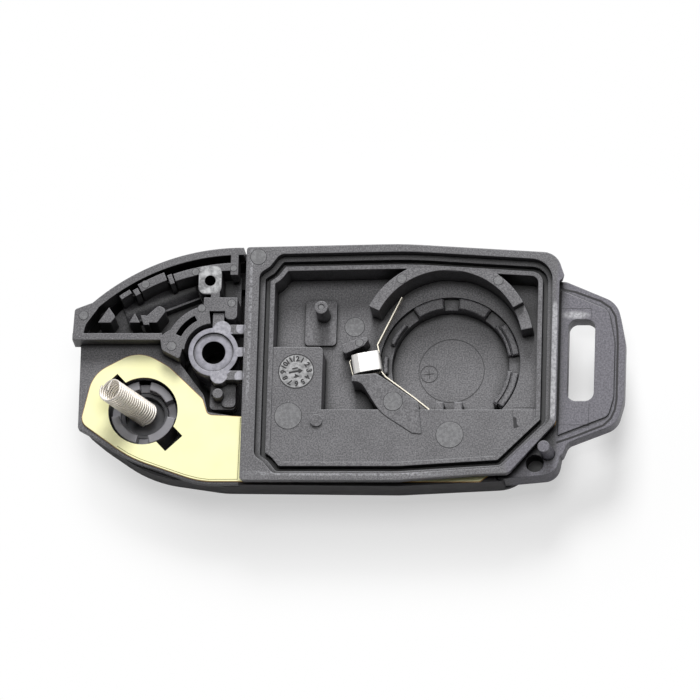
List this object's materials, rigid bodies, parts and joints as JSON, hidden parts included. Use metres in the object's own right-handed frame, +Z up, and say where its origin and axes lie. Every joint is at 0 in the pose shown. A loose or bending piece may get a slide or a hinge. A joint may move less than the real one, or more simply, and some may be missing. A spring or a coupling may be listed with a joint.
{
  "type": "flip key remote shell",
  "caption": "Opened back half of a flip key remote shell: housing tray with sealed rim, coin cell pocket, key bay, keyring loop, flip collar and spring.",
  "frame": {"origin": "on the resting plane, under the axis of the guard wall of the coin cell pocket", "axes": "+X along the length towards the keyring loop, +Y towards the guard wall's side, +Z up out of the open shell"},
  "size_m": [0.074, 0.033, 0.0146],
  "materials": {
    "tray_plastic": "fine spark texture, matt",
    "bay_plastic": "fine spark texture, matt",
    "cover_plastic": "smooth, slightly satin",
    "amber_adhesive": "soft satin",
    "liner_paper": "smooth waxed paper",
    "collar_plastic": "matt",
    "button_plastic": "matt",
    "spring_steel": "drawn wire, satin",
    "contact_metal": "nickel plated, satin"
  },
  "bodies": {
    "body": {"battery_tray": "tray_plastic", "key_bay_frame": "bay_plastic", "back_cover": "cover_plastic", "adhesive_gasket": "amber_adhesive", "release_liner": "liner_paper", "battery_contact": "contact_metal"},
    "flip_collar": {"flip_collar": "collar_plastic"},
    "release_button": {"release_button": "button_plastic", "flip_spring": "spring_steel"}
  },
  "joints": [
    {"name": "flip_turn", "type": "hinge", "parent": "body", "child": "flip_collar", "pos_m": [-0.0405, -0.0093, 0.004], "axis": [0, 0, 1], "range_deg": [0, 180]},
    {"name": "release_press", "type": "slide", "parent": "flip_collar", "child": "release_button", "axis": [0, 0, 1], "range_m": [0, 0.002], "stiffness_N_per_m": 20}
  ]
}
